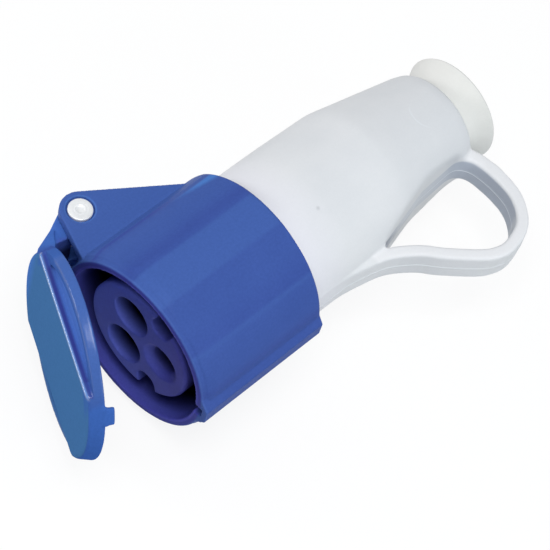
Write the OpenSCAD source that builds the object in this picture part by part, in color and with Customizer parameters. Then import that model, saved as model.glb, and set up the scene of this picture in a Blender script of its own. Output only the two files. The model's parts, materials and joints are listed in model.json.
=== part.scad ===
// Portable industrial connector, 2 poles and earth, with hinged lid and loop handle.
// X runs from the mating face to the cable end, Y points to the hinge, Z is up. Units are mm.

/* [Collar] */
// outer radius of the round front rim
rim_r = 41; // [34:0.5:50]
// length of the collar
collar_len = 68.5; // [50:0.5:90]
// radius over the soft corners of the facets
corner_r = 42.8; // [36:0.1:52]
// bore that takes the shroud of the plug
bore_r = 37.2; // [30:0.1:46]
// length of the round rim ahead of the facets
rim_len = 3; // [1:0.5:8]
// depth of the flattest facet below the corner circle
facet_dip = 1.2; // [0.4:0.1:2.4]
// radius at the top of the keyway nose
nose_r = 44.2; // [38:0.1:54]
// width of the nose at its top
nose_w = 8; // [4:0.5:14]
// width of the nose at its foot
nose_foot = 17; // [10:0.5:24]
// width of the keyway groove
key_w = 6; // [3:0.5:9]
// radius at the bottom of the keyway groove
key_r = 41.4; // [36:0.1:50]
// position of the inner ring that closes the annular space
ring_x = 43; // [30:1:60]
// thickness of the inner ring
ring_t = 4; // [2:0.5:8]

/* [Hinge] */
// distance of the hinge pin behind the rim
pin_x = 17.4; // [8:0.1:30]
// distance of the hinge pin from the collar axis
pin_y = 55.5; // [48:0.5:70]
// diameter of the hinge pin
pin_d = 5; // [3:0.5:8]
// diameter of the pin head
pin_head_d = 11; // [7:0.5:16]
// thickness of the pin head
pin_head_t = 1.8; // [1:0.1:3]
// half distance between the outer faces of the ears
ear_out = 19; // [14:0.5:26]
// thickness of one ear
ear_t = 5.4; // [3:0.1:8]
// radius of the round end of the ear
boss_r = 9; // [6:0.5:14]
// angle of the lid from closed, as it rests
lid_rest = 25.4; // [0:0.1:120]

/* [Lid] */
// outer radius of the lid at its edge
lid_r = 45; // [41:0.5:56]
// radius of the raised face
face_r = 42.4; // [36:0.1:52]
// height of the raised face ahead of the rim
face_h = 7.4; // [5:0.1:12]
// height of the lower side parts ahead of the rim
side_h = 4.6; // [3:0.1:10]
// depth of the channel in the side parts
channel = 1.7; // [0.5:0.1:2.5]
// half width of the raised face
strap_half = 26.6; // [14:0.2:34]
// wall of the lid
lid_wall = 2.2; // [1.5:0.1:4]
// gap between lid and rim when closed
lid_gap = 0.4; // [0.3:0.05:1]
// radius of the hinge barrel
barrel_r = 8.6; // [5:0.1:12]
// length of one hinge knuckle
knuckle_len = 6; // [3:0.5:9]
// angle of the hook from the nose side
hook_angle = 25; // [18:1:40]
// width of the hook
hook_w = 9; // [4:0.5:14]
// reach of the hook behind the rim plane
hook_x = 3.8; // [1:0.1:8]

/* [Contact carrier] */
// radius of the carrier front
carrier_r = 28.4; // [22:0.1:36]
// recess of the carrier face behind the rim
carrier_x = 2.8; // [0:0.1:12]
// radius of the contact circle
pitch_r = 13.3; // [9:0.1:20]
// diameter of a contact hole at the face
mouth_d = 19.2; // [10:0.1:24]
// diameter of the guard hole ahead of the earth contact
guard_d = 12.8; // [10.4:0.1:18]
// distance from the carrier edge to the notch centre
notch_in = 4.4; // [2:0.2:8]
// width of a notch
notch_w = 10.4; // [4:0.2:14]
// angle of the notches from the hinge side
notch_angle = 112; // [95:1:140]
// depth of the notches along the axis
notch_len = 29; // [10:1:40]
// thickness of the carrier flange
flange_t = 6; // [3:0.5:10]

/* [Contacts] */
// front end of the contact sleeves
contact_x = 14; // [8:0.5:24]
// bore of a line contact
line_bore = 8; // [5:0.5:12]
// bore of the earth contact
earth_bore = 10; // [6:0.5:14]
// wall of a contact sleeve
sleeve_wall = 2.6; // [1.5:0.1:4]
// depth of the contact bore
bore_len = 34; // [20:1:44]
// length of a contact behind the back plate
contact_tail = 20; // [16:1:30]
// bore for the wire
wire_bore = 9; // [4:0.5:11]

/* [Body] */
// wall of the body outside its fixing screws
screw_wall = 2.7; // [2.6:0.1:6]
// end of the straight part behind the collar
barrel_x = 100; // [80:1:100]
// where the taper starts
taper_x = 131; // [100:1:160]
// rear end of the body
body_end = 183.4; // [150:0.5:230]
// outer radius at the rear end
end_r = 25.6; // [18:0.1:34]
// wall thickness of the body
wall = 3; // [2:0.1:5]
// radius of the cable hole in the rear wall
end_hole_r = 17.2; // [10:0.1:22]

/* [Handle] */
// half width of the grip seen from the side
grip_half = 3; // [2.4:0.1:8]
// half thickness of the grip
grip_z = 8; // [5:0.1:12]
// lowest reach of the loop from the axis
loop_y = 69; // [55:0.5:90]

/* [Cable bush] */
// widest radius of the flare
flare_r = 25.7; // [18:0.1:34]
// radius of the flare at the body
flare_foot_r = 20.6; // [16:0.1:28]
// reach of the bush behind the body
bush_len = 14.2; // [11:0.2:50]
// bore for the cable
cable_bore = 23; // [12:0.5:30]

/* [Fits] */
// running clearance on the hinge pin
run_gap = 0.06; // [0.01:0.01:0.1]
// clearance between fixed mouldings
mould_gap = 0.15; // [0.05:0.05:0.4]
// clearance of a screw shank
screw_gap = 0.1; // [0.05:0.05:0.3]

/* [Hidden] */
$fn = 72;

blue = [0.24, 0.34, 0.63];
lid_blue = [0.24, 0.40, 0.62];
carrier_blue = [0.22, 0.22, 0.45];
grey = [0.85, 0.87, 0.89];
cream = [0.87, 0.87, 0.84];
dark = [0.16, 0.16, 0.17];
brass = [0.78, 0.65, 0.32];
steel = [0.80, 0.82, 0.83];

far = 3 * body_end;
body_screw_d = 3.6;
body_screw_head = 5.6;
head_t = 2.4;
slot_w = 1;
slot_t = 1;
ring_gap = 0.5;
body_screw_r = carrier_r + ring_gap + screw_gap + body_screw_head / 2;
body_r = body_screw_r + body_screw_d / 2 + screw_wall;
flange_x = ring_x + ring_t;
flange_end = flange_x + flange_t;
flange_r = body_r - mould_gap;
seat_r = body_r + mould_gap;
ear_in = ear_out - ear_t;
knuckle_out = ear_in - 0.35;
line_od = line_bore + 2 * sleeve_wall;
earth_od = earth_bore + 2 * sleeve_wall;
stop_t = 3;
plate_x = flange_end + mould_gap;
plate_t = 4;
plate_end = plate_x + plate_t;
plate_screw_r = pitch_r + 7.2;
plate_screw_d = 3.6;
plate_screw_head = 6.4;
body_screw_end = flange_end + 13;
body_boss_d = 7.6;
plate_r = body_screw_r - body_boss_d / 2 - 0.6;
spigot_r = body_screw_r - 0.4;
spigot_end = collar_len + 6;
term_screw_d = 5;
contact_end = plate_end + contact_tail;
term_x = [plate_end + 5.2, plate_end + 13.2];
seal_x = collar_len - 5.4;
seal_d = 2.4;
seal_groove = 2.8;
spring_wire = 1.2;
spring_x = contact_x + 4;
clamp_x = body_end - 33.4;
clamp_len = 12;
clamp_gap = cable_bore / 2 - 0.5;
clamp_y = 15;
clamp_half = 20;
clamp_screw_d = 4;
clamp_base_t = 6;
clamp_top_t = 4.2;
clamp_screw_head = 7;
clamp_post_d = 8;
clamp_foot = -clamp_gap - clamp_base_t - 5;
bush_end = body_end + bush_len;
rear_wall_x = body_end - 3.6;
neck_r = end_hole_r - mould_gap;
coil_wire = 1.5;
coil_turns = 5;
coil_pitch = 1.7;
coil_mean = pin_d / 2 + coil_wire / 2 + 0.7;
coil_half = coil_pitch * (coil_turns - 1) / 2;
leg_gap = 0.3;
lid_leg_angle = 20;
lid_leg_len = barrel_r + 5.4;
collar_leg_angle = 34;
corner_angles = [17.5, 42.5, 77.5, 98, 137.5, 162.5];
hinge_drop = 0.7;
facet_y = (corner_r - hinge_drop) * cos(corner_angles[0]);
hinge_facet = 11;
corners = [for (a = corner_angles) a, for (i = [5 : -1 : 0]) 360 - corner_angles[i], 360 + corner_angles[0]];
facet_steps = 6;
wide_angle = 39.5;
slot_r = barrel_r + 1.6;
pin_cap = pin_head_d + 1.4;
gasket_t = 1.6;
gasket_floor = -lid_gap - gasket_t;
gasket_w = 5.9;
gasket_out = min(rim_r, lid_r - 4) + 0.7;
gasket_in = gasket_out - gasket_w;
wing_gap = 1;
hook_out = max(lid_r + 0.8, corner_r + 2.2);
hook_root = 3.2;

// puts the X axis of a revolved profile in place, profile given as [radius, x]
module turned() {
    rotate([0, 90, 0])
        rotate([0, 0, 90])
            rotate_extrude()
                children();
}

// round bar along X
module rod_x(d, x0, x1) {
    translate([x0, 0, 0])
        rotate([0, 90, 0])
            cylinder(d = d, h = x1 - x0);
}

// copies a child to an angle from the hinge side and a distance from the axis
module around(angle, dist) {
    rotate([angle, 0, 0])
        translate([0, dist, 0])
            children();
}

// flat plate standing in the XY plane between two heights
module slab(z0, z1) {
    translate([0, 0, z0])
        linear_extrude(height = z1 - z0)
            children();
}

// opens closed lid geometry by an angle about the hinge pin
module swung(angle) {
    translate([pin_x, pin_y, 0])
        rotate([0, 0, -angle])
            translate([-pin_x, -pin_y, 0])
                children();
}

// touch point on the ear end circle for an edge that starts at a foot point
function touch(foot, side) =
    let (dx = foot[0] - pin_x, dy = foot[1] - pin_y)
    let (gap = sqrt(dx * dx + dy * dy))
    let (a = atan2(dy, dx) + side * acos(boss_r / gap))
    [pin_x + boss_r * cos(a), pin_y + boss_r * sin(a)];

// front edge of an ear, from its foot to the touch point on its round end
ear_foot = [1.4, rim_r - 5.4];
ear_top = touch(ear_foot, -1);
ear_run = (ear_top - ear_foot) / norm(ear_top - ear_foot);
wing_shift = wing_gap * [-ear_run[1], ear_run[0]];
arm_top = [pin_x - barrel_r * cos(51), pin_y + barrel_r * sin(51)];

// Collar

// radius on a curved facet, t runs from -1 to 1 between its corners and the dip grows with its width
function facet_r(span, t) = corner_r - facet_dip * pow(span / wide_angle, 2) * (1 - t * t);

// the corners beside the hinge facet sit lower
function hinge_fade(i, share) = hinge_drop * (i == 0 ? 1 - share : i == hinge_facet - 1 ? share : 0);

function facet_point(i, s) =
    let (span = corners[i + 1] - corners[i], share = s / facet_steps)
    let (a = corners[i] + span * share)
    let (r = i == hinge_facet ? facet_y / cos(a) : facet_r(span, 2 * share - 1) - hinge_fade(i, share))
    r * [cos(a), sin(a)];

module facet_prism() {
    translate([rim_len, 0, 0])
        rotate([90, 0, 90])
            linear_extrude(height = collar_len - rim_len)
                polygon([for (i = [0 : 11]) for (s = [0 : facet_steps - 1]) facet_point(i, s)]);
}

module collar_skin() {
    soft_r = corner_r - 0.3;
    intersection() {
        facet_prism();
        turned()
            polygon([[0, 0], [rim_r + 0.2, 0], [soft_r, 7], [soft_r, collar_len - 1.6],
                [soft_r - 0.5, collar_len - 0.5], [soft_r - 1.6, collar_len], [0, collar_len]]);
    }
    turned()
        polygon([[0, 0], [rim_r - 0.6, 0], [rim_r, 0.6], [rim_r + 0.3, 9], [0, 9]]);
}

module ear_flat() {
    rear_foot = [collar_len - 0.4, rim_r - 7.4];
    low_front = [4, bore_r - 5.2];
    low_rear = [collar_len - 4, bore_r - 5.2];
    polygon([low_front, ear_foot, ear_top, [pin_x, pin_y],
        touch(rear_foot, 1), rear_foot, low_rear]);
    translate([pin_x, pin_y])
        circle(r = boss_r);
}

module ears() {
    slab(ear_in, ear_out)
        ear_flat();
    slab(-ear_out, -ear_in)
        ear_flat();
}

module nose() {
    rotate([90, 0, 90])
        linear_extrude(height = collar_len)
            polygon([[0.8 - rim_r, -nose_foot / 2], [-nose_r, -nose_w / 2], [-nose_r, nose_w / 2],
                [0.8 - rim_r, nose_foot / 2], [-bore_r - 0.6, nose_foot / 2],
                [-bore_r - 0.6, -nose_foot / 2]]);
}

module collar() {
    color(blue)
        difference() {
            union() {
                collar_skin();
                ears();
                nose();
            }
            rod_x(2 * bore_r, -1, ring_x);
            rod_x(2 * (carrier_r + ring_gap), ring_x - 1, flange_x + 1);
            rod_x(2 * seat_r, flange_x, collar_len + 1);
            translate([-1, -key_r, -key_w / 2])
                cube([ring_x + 1, key_r - bore_r + 4, key_w]);
            translate([pin_x, pin_y, -far / 2])
                cylinder(d = pin_d, h = far);
            translate([pin_x, pin_y, ear_out - pin_head_t])
                cylinder(d = pin_cap, h = far);
            translate([pin_x, pin_y, -far - ear_out + pin_head_t])
                cylinder(d = pin_cap, h = far);
            for (a = [0, 120, 240])
                around(a, body_screw_r) {
                    rod_x(body_screw_d + 2 * screw_gap, ring_x - 1, flange_x + 1);
                    rod_x(body_screw_head + 2 * screw_gap, ring_x - head_t - screw_gap, ring_x);
                }
        }
}

// Contact carrier and back plate

module notch() {
    translate([carrier_x - 1, 0, 0])
        rotate([90, 0, 90])
            linear_extrude(height = notch_len + 1) {
                translate([carrier_r - notch_in, 0])
                    circle(d = notch_w);
                translate([carrier_r - notch_in, -notch_w / 2])
                    square([notch_in + notch_w, notch_w]);
            }
}

module carrier() {
    color(carrier_blue)
        difference() {
            turned()
                polygon([[0, carrier_x], [carrier_r - 1, carrier_x], [carrier_r, carrier_x + 1],
                    [carrier_r, flange_x], [flange_r, flange_x], [flange_r, flange_end], [0, flange_end]]);
            for (a = [60, -60])
                around(a, pitch_r) {
                    rod_x(mouth_d, carrier_x - 1, contact_x - 1);
                    rod_x(line_od + 3, contact_x - 1.01, spring_x + 4);
                    rod_x(line_od + 2 * mould_gap, contact_x - 1.01, flange_end + 1);
                    rod_x(line_od + 4, flange_end - stop_t, flange_end + 1);
                }
            around(180, pitch_r) {
                rod_x(mouth_d, carrier_x - 1, carrier_x + 0.3);
                translate([carrier_x + 0.2, 0, 0])
                    rotate([0, 90, 0])
                        cylinder(d1 = mouth_d, d2 = guard_d, h = 2.6);
                rod_x(guard_d, carrier_x + 2.7, contact_x);
                rod_x(earth_od + 3, contact_x - 1, spring_x + 4);
                rod_x(earth_od + 2 * mould_gap, contact_x - 1, flange_end + 1);
                rod_x(earth_od + 4, flange_end - stop_t, flange_end + 1);
            }
            for (a = [notch_angle, -notch_angle])
                rotate([a, 0, 0])
                    notch();
            for (a = [0, 120, 240]) {
                around(a, plate_screw_r)
                    rod_x(plate_screw_d, flange_x - 4, flange_end + 1);
                around(a, body_screw_r)
                    rod_x(body_screw_d + 2 * screw_gap, flange_x - 1, flange_end + 1);
            }
        }
}

module back_plate() {
    color(dark)
        difference() {
            rod_x(2 * plate_r, plate_x, plate_end);
            for (a = [60, -60])
                around(a, pitch_r)
                    rod_x(line_od + 2 * mould_gap, plate_x - 1, plate_end + 1);
            around(180, pitch_r)
                rod_x(earth_od + 2 * mould_gap, plate_x - 1, plate_end + 1);
            for (a = [0, 120, 240])
                around(a, plate_screw_r)
                    rod_x(plate_screw_d + 2 * screw_gap, plate_x - 1, plate_end + 1);
        }
}

// Contacts with their spring rings and screws

module contact(angle, bore, od) {
    around(angle, pitch_r)
        difference() {
            union() {
                rod_x(od, contact_x, contact_end);
                rod_x(od + 3.6, flange_end - stop_t + 0.1, flange_end);
            }
            rod_x(bore, contact_x - 1, contact_x + bore_len);
            rod_x(wire_bore, plate_end - 1, contact_end + 1);
            translate([contact_x - 1, -0.5, -od])
                cube([13, 1, 2 * od]);
            translate([spring_x, 0, 0])
                rotate([0, 90, 0])
                    rotate_extrude()
                        translate([od / 2 + 0.4, 0])
                            circle(d = spring_wire + 0.1, $fn = 24);
            for (x = term_x)
                translate([x, 0, 0])
                    rotate([-90, 0, 0])
                        cylinder(d = term_screw_d, h = od);
        }
}

module contact_line_a() {
    color(brass)
        contact(60, line_bore, line_od);
}

module contact_line_b() {
    color(brass)
        contact(-60, line_bore, line_od);
}

module contact_earth() {
    color(brass)
        contact(180, earth_bore, earth_od);
}

module spring_ring(angle, od) {
    around(angle, pitch_r)
        translate([spring_x, 0, 0])
            rotate([0, 90, 0])
                rotate_extrude($fn = 32)
                    translate([od / 2 + 0.4, 0])
                        circle(d = spring_wire, $fn = 16);
}

module contact_springs() {
    color(steel) {
        spring_ring(60, line_od);
        spring_ring(-60, line_od);
        spring_ring(180, earth_od);
    }
}

module terminal_screw(angle, od, x) {
    around(angle, pitch_r)
        translate([x, wire_bore / 2 - 0.6, 0])
            rotate([-90, 0, 0])
                difference() {
                    cylinder(d = term_screw_d, h = (od - wire_bore) / 2 + head_t, $fn = 24);
                    translate([-term_screw_d, -slot_w / 2, (od - wire_bore) / 2 + head_t - slot_t])
                        cube([2 * term_screw_d, slot_w, 2 * slot_t]);
                }
}

module terminal_screws() {
    color(steel)
        for (x = term_x) {
            terminal_screw(60, line_od, x);
            terminal_screw(-60, line_od, x);
            terminal_screw(180, earth_od, x);
        }
}

module plate_screws() {
    color(steel)
        for (a = [0, 120, 240])
            around(a, plate_screw_r) {
                rod_x(plate_screw_d, flange_x - 3, plate_end + 0.1);
                difference() {
                    rod_x(plate_screw_head, plate_end, plate_end + head_t);
                    translate([plate_end + head_t - slot_t, -slot_w / 2, -plate_screw_head])
                        cube([2 * slot_t, slot_w, 2 * plate_screw_head]);
                }
            }
}

module body_screws() {
    color(steel)
        for (a = [0, 120, 240])
            around(a, body_screw_r) {
                rod_x(body_screw_d, ring_x - 0.1, body_screw_end);
                difference() {
                    rod_x(body_screw_head, ring_x - head_t, ring_x);
                    translate([ring_x - head_t - slot_t, -slot_w / 2, -body_screw_head])
                        cube([2 * slot_t, slot_w, 2 * body_screw_head]);
                }
            }
}

module seal_ring() {
    color(dark)
        turned()
            translate([seat_r - seal_d / 2 - 0.02, seal_x])
                circle(d = seal_d, $fn = 24);
}

// Body with loop handle

// centre line of the grip, a rib from the collar, then round the loop to the rear edge of the body
grip_path = [[collar_len + 2 * mould_gap, 3.4 - body_r], [body_end - 103.4, 3.5 - body_r],
    [body_end - 93.4, 3.2 - body_r], [body_end - 81.7, 1.3 - body_r], [body_end - 69.1, -body_r - 2.1],
    [body_end - 57.2, -body_r - 9.5], [body_end - 49.6, -(body_r + loop_y) / 2 - 0.8],
    [body_end - 37.3, 5 - loop_y], [body_end - 30.6, 1.2 - loop_y], [body_end - 23.2, -loop_y],
    [body_end - 12.2, 3.2 - loop_y], [body_end - 6, 9 - loop_y], [body_end - 2, 16.6 - loop_y],
    [body_end - 0.6, 3.9 - (loop_y + end_r) / 2], [body_end - 0.7, -end_r - 9],
    [body_end - 2.2, -end_r - 1.8], [body_end - 5.6, 3 - end_r]];
grip_steps = 3;
grip_sides = 20;

function spline(p, i, t) =
    let (n = len(p))
    let (a = p[max(i - 1, 0)], b = p[i], c = p[i + 1], d = p[min(i + 2, n - 1)])
    0.5 * (2 * b + (c - a) * t + (2 * a - 5 * b + 4 * c - d) * t * t
        + (3 * b - 3 * c + d - a) * t * t * t);

grip_points = [
    for (i = [0 : len(grip_path) - 2])
        for (s = [0 : grip_steps - 1])
            spline(grip_path, i, s / grip_steps),
    grip_path[len(grip_path) - 1]
];

function along(i) =
    let (a = grip_points[max(i - 1, 0)], b = grip_points[min(i + 1, len(grip_points) - 1)])
    (b - a) / norm(b - a);

// the grip is wider where it joins the rear of the body and thicker along the rib
function grip_w(i) = grip_half + 0.2 * max(0, i / grip_steps - 11);

function grip_t(i) = grip_z + 1.5 * max(0, 1 - i / (4 * grip_steps));

function soft(v) = sign(v) * pow(abs(v), 0.25);

function grip_ring(i) =
    let (d = along(i), c = grip_points[i], w = grip_w(i), t = grip_t(i))
    [for (k = [0 : grip_sides - 1])
        let (u = w * soft(cos(360 * k / grip_sides)), v = t * soft(sin(360 * k / grip_sides)))
        [c[0] - d[1] * u, c[1] + d[0] * u, v]];

module grip() {
    rings = len(grip_points);
    points = [for (i = [0 : rings - 1]) for (p = grip_ring(i)) p];
    sides = [
        for (i = [0 : rings - 2])
            for (k = [0 : grip_sides - 1])
                let (a = i * grip_sides + k, b = i * grip_sides + (k + 1) % grip_sides)
                for (f = [[a, a + grip_sides, b], [b, a + grip_sides, b + grip_sides]])
                    f
    ];
    front = [for (k = [0 : grip_sides - 1]) k];
    back = [for (k = [0 : grip_sides - 1]) rings * grip_sides - 1 - k];
    polyhedron(points = points, faces = concat(sides, [front, back]));
}

// opening of the loop in the XY plane, its upper side flattens the underside of the body
module loop_hole(grow) {
    hull() {
        translate([body_end - 66.9, 1.3 - body_r])
            circle(r = 1.4 + grow, $fn = 24);
        translate([body_end - 33.4, 3 - body_r])
            circle(r = 8.2 + grow, $fn = 48);
        translate([body_end - 13.4, -end_r - 7.6])
            circle(r = 9.4 + grow, $fn = 48);
        translate([body_end - 15.9, 19 - loop_y])
            circle(r = 10 + grow, $fn = 48);
        translate([body_end - 23.4, 9.5 - loop_y])
            circle(r = 7.4 + grow, $fn = 48);
    }
}

module body_skin() {
    turned()
        polygon([[0, flange_end + mould_gap], [body_r, flange_end + mould_gap], [body_r, barrel_x],
            [body_r - 0.6, taper_x], [end_r + 1.2, body_end - 6], [end_r, body_end - 2],
            [end_r - 1.4, body_end - 0.4], [end_r - 2.4, body_end], [0, body_end]]);
}

module body_hollow() {
    turned()
        polygon([[0, flange_end - 1], [spigot_r, flange_end - 1], [spigot_r, spigot_end],
            [body_r - wall, spigot_end + 3], [body_r - wall - 0.6, taper_x], [end_r - wall, rear_wall_x],
            [0, rear_wall_x]]);
}

// the clamp is drawn screw heads up and turned over, its screws are reached from the far side
module turned_over() {
    rotate([180, 0, 0])
        children();
}

module clamp_posts() {
    turned_over()
        for (y = [-clamp_y, clamp_y])
            translate([clamp_x, y, -body_r])
                cylinder(d = clamp_post_d, h = body_r - clamp_gap - clamp_base_t, $fn = 32);
}

module clamp_holes() {
    turned_over()
        for (y = [-clamp_y, clamp_y])
            translate([clamp_x, y, 0]) {
                translate([0, 0, clamp_foot - 1])
                    cylinder(d = clamp_screw_d, h = 1 - clamp_foot, $fn = 24);
                translate([0, 0, clamp_gap])
                    cylinder(d = clamp_screw_head + 1, h = far, $fn = 32);
            }
}

module body() {
    color(grey)
        difference() {
            union() {
                difference() {
                    union() {
                        difference() {
                            body_skin();
                            slab(-far / 2, far / 2)
                                loop_hole(0);
                        }
                        grip();
                    }
                    difference() {
                        body_hollow();
                        slab(-far / 2, far / 2)
                            loop_hole(wall);
                    }
                }
                intersection() {
                    body_skin();
                    union() {
                        for (a = [0, 120, 240])
                            around(a, body_screw_r)
                                rod_x(body_boss_d, flange_end + mould_gap, spigot_end);
                        clamp_posts();
                    }
                }
            }
            rod_x(2 * end_hole_r, rear_wall_x - 1, body_end + 1);
            for (a = [0, 120, 240])
                around(a, body_screw_r)
                    rod_x(body_screw_d, flange_end - 1, body_screw_end + 1);
            translate([seal_x - seal_groove / 2, 0, 0])
                rotate([0, 90, 0])
                    difference() {
                        cylinder(r = body_r + 1, h = seal_groove);
                        translate([0, 0, -1])
                            cylinder(r = seat_r - seal_d - 0.1, h = seal_groove + 2);
                    }
            clamp_holes();
        }
}

// Cable clamp

module clamp_bar(z0, z1, hole) {
    difference() {
        translate([clamp_x - clamp_len / 2, -clamp_half, z0])
            cube([clamp_len, 2 * clamp_half, z1 - z0]);
        for (y = [-clamp_y, clamp_y])
            translate([clamp_x, y, z0 - 1])
                cylinder(d = hole, h = z1 - z0 + 2, $fn = 32);
    }
}

module clamp_base() {
    color(dark)
        turned_over()
            difference() {
                clamp_bar(-clamp_gap - clamp_base_t, -clamp_gap, clamp_screw_d + 2 * screw_gap);
                translate([0, 0, 2.5])
                    rod_x(cable_bore + 7, clamp_x - clamp_len, clamp_x + clamp_len);
            }
}

module clamp_saddle() {
    color(steel)
        turned_over()
            clamp_bar(clamp_gap, clamp_gap + clamp_top_t, clamp_screw_d + 2 * screw_gap);
}

module clamp_screw() {
    translate([0, 0, clamp_foot])
        cylinder(d = clamp_screw_d, h = clamp_gap + clamp_top_t + 0.1 - clamp_foot, $fn = 24);
    difference() {
        translate([0, 0, clamp_gap + clamp_top_t])
            cylinder(d = clamp_screw_head, h = head_t, $fn = 32);
        translate([-clamp_screw_head, -slot_w / 2, clamp_gap + clamp_top_t + head_t - slot_t])
            cube([2 * clamp_screw_head, slot_w, 2 * slot_t]);
    }
}

module clamp_screws() {
    color(steel)
        turned_over()
            for (y = [-clamp_y, clamp_y])
                translate([clamp_x, y, 0])
                    clamp_screw();
}

// Cable bush

module bush() {
    lip = 3.2;
    groove_end = body_end + mould_gap;
    color(cream)
        turned()
            polygon([[cable_bore / 2, rear_wall_x - 5], [neck_r + 1, rear_wall_x - 5],
                [neck_r + 3, rear_wall_x - 3.4], [neck_r + 3, rear_wall_x - mould_gap],
                [neck_r, rear_wall_x - mould_gap], [neck_r, groove_end],
                [flare_foot_r, groove_end], [flare_foot_r + 0.5, groove_end + 3],
                [flare_foot_r + 1.6, groove_end + 7], [flare_r - 1, bush_end - 3],
                [flare_r, bush_end - 1.2], [flare_r - 0.3, bush_end - 0.3], [flare_r - 1.1, bush_end],
                [cable_bore / 2 + lip + 1, bush_end], [cable_bore / 2 + lip - 1, bush_end - 1],
                [cable_bore / 2, bush_end - 6]]);
}

// Lid, drawn closed and swung to its resting angle

module lid_block() {
    turned()
        polygon([[0, -lid_gap], [lid_r - 0.5, -lid_gap], [lid_r, -lid_gap - 0.6],
            [face_r + 0.9, 1 - face_h], [face_r + 0.3, 0.3 - face_h], [face_r - 0.7, -face_h], [0, -face_h]]);
}

// lower side parts of the lid, each with a channel beside the raised face
module side_cuts() {
    for (side = [0, 180])
        rotate([side, 0, 0]) {
            translate([-far, -far / 2, strap_half])
                cube([far - side_h, far, far]);
            intersection() {
                translate([-far, -far / 2, strap_half])
                    cube([far - side_h + channel, far, far]);
                rod_x(2 * face_r - 7, -far, 0);
            }
        }
}

module lid_hollow() {
    intersection() {
        rod_x(2 * gasket_in, lid_wall - face_h, 1);
        translate([-far / 2, -far / 2, lid_wall - strap_half])
            cube([far, far, 2 * (strap_half - lid_wall)]);
    }
    rod_x(2 * gasket_in, -lid_gap - 0.9, 1);
}

module arm_side() {
    polygon([arm_top, [1.2 - face_h, face_r - 3.4],
        [0.6 - face_h, face_r - 6], [lid_wall - face_h, face_r - 9], [-lid_gap - 0.4, face_r - 5],
        [-lid_gap, face_r + 1.2], [pin_x - 2, pin_y - barrel_r + 0.25], [pin_x, pin_y]]);
    translate([pin_x, pin_y])
        circle(r = barrel_r);
}

// cheeks that widen the arm from the knuckles to the raised face, clear of the ears and the collar
module arm_wings() {
    face_corner = sqrt(face_r * face_r - strap_half * strap_half);
    flush = [0.03, -0.03];
    shoulder = [1.2 - face_h, face_r - 3.4] + flush;
    wing_top = shoulder + 0.58 * (arm_top - shoulder);
    wing_in = ear_foot + wing_shift + 0.72 * (ear_top - ear_foot);
    inner = knuckle_out - 0.5;
    difference() {
        intersection() {
            slab(-strap_half, strap_half)
                polygon([wing_top, shoulder, [0.6 - face_h, face_r - 6] + flush,
                    [1 - face_h, face_corner - 2], [-lid_gap - 1.2, face_corner - 2],
                    ear_foot + wing_shift, wing_in]);
            rotate([90, 0, 90])
                linear_extrude(height = far, center = true)
                    polygon([[0, -strap_half], [face_corner, -strap_half], [pin_y - 3.5, -inner],
                        [far, -inner], [far, inner], [pin_y - 3.5, inner],
                        [face_corner, strap_half], [0, strap_half]]);
        }
        rod_x(2 * (corner_r + wing_gap), -lid_gap - 0.05, far);
    }
}

module hook() {
    rotate([180 - hook_angle, 0, 0])
        slab(-hook_w / 2, hook_w / 2)
            polygon([[-hook_root, lid_r - 2.2], [-lid_gap, corner_r + 0.6], [hook_x - 0.8, corner_r + 0.6],
                [hook_x, corner_r + 1.4], [hook_x - 0.6, hook_out], [-lid_gap - 0.4, hook_out - 0.6],
                [-hook_root, lid_r - 1.2]]);
}

module lid() {
    color(lid_blue)
        swung(lid_rest)
            difference() {
                union() {
                    difference() {
                        lid_block();
                        side_cuts();
                    }
                    slab(-knuckle_out, knuckle_out)
                        arm_side();
                    arm_wings();
                    hook();
                }
                lid_hollow();
                turned()
                    polygon([[gasket_in - 0.1, gasket_floor], [gasket_out + 0.1, gasket_floor],
                        [gasket_out + 0.1, 1], [gasket_in - 0.1, 1]]);
                translate([pin_x, pin_y, -far / 2])
                    cylinder(d = pin_d + 2 * run_gap, h = far);
                slab(-knuckle_out + knuckle_len, knuckle_out - knuckle_len)
                    translate([pin_x, pin_y])
                        circle(r = slot_r);
                lid_leg(coil_wire + 2 * leg_gap, lid_leg_len + leg_gap);
            }
}

module lid_gasket() {
    color(dark)
        swung(lid_rest)
            turned()
                polygon([[gasket_in, gasket_floor + 0.02], [gasket_out, gasket_floor + 0.02],
                    [gasket_out, -lid_gap - 0.3], [gasket_out - 0.4, -lid_gap],
                    [gasket_in + 0.4, -lid_gap], [gasket_in, -lid_gap - 0.3]]);
}

module hinge_pin() {
    cap_z = ear_out - pin_head_t + 0.02;
    color(steel)
        translate([pin_x, pin_y, 0]) {
            translate([0, 0, -cap_z])
                cylinder(d = pin_d, h = 2 * cap_z);
            difference() {
                translate([0, 0, cap_z])
                    cylinder(d = pin_head_d, h = pin_head_t - 0.1);
                translate([0, 0, cap_z + pin_head_t - 0.6])
                    cylinder(d1 = 2.4, d2 = 4.4, h = 0.6);
            }
            translate([0, 0, -cap_z - pin_head_t + 0.1])
                cylinder(d = pin_head_d, h = pin_head_t - 0.1);
        }
}

// spring leg that reaches into the lid arm, drawn with the lid closed
module lid_leg(d, len) {
    translate([pin_x, pin_y, coil_half])
        rotate([0, 0, lid_leg_angle])
            translate([0, -coil_mean, 0])
                rotate([0, -90, 0])
                    cylinder(d = d, h = len, $fn = 24);
}

// spring leg that rests on the collar facet behind the pin
module collar_leg() {
    drop = pin_y - facet_y - coil_mean * cos(collar_leg_angle) - coil_wire / 2 * cos(collar_leg_angle);
    translate([pin_x, pin_y, -coil_half])
        rotate([0, 0, -collar_leg_angle])
            translate([0, -coil_mean, 0])
                rotate([0, 90, 0])
                    cylinder(d = coil_wire, h = (drop - 0.05) / sin(collar_leg_angle), $fn = 24);
}

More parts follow.
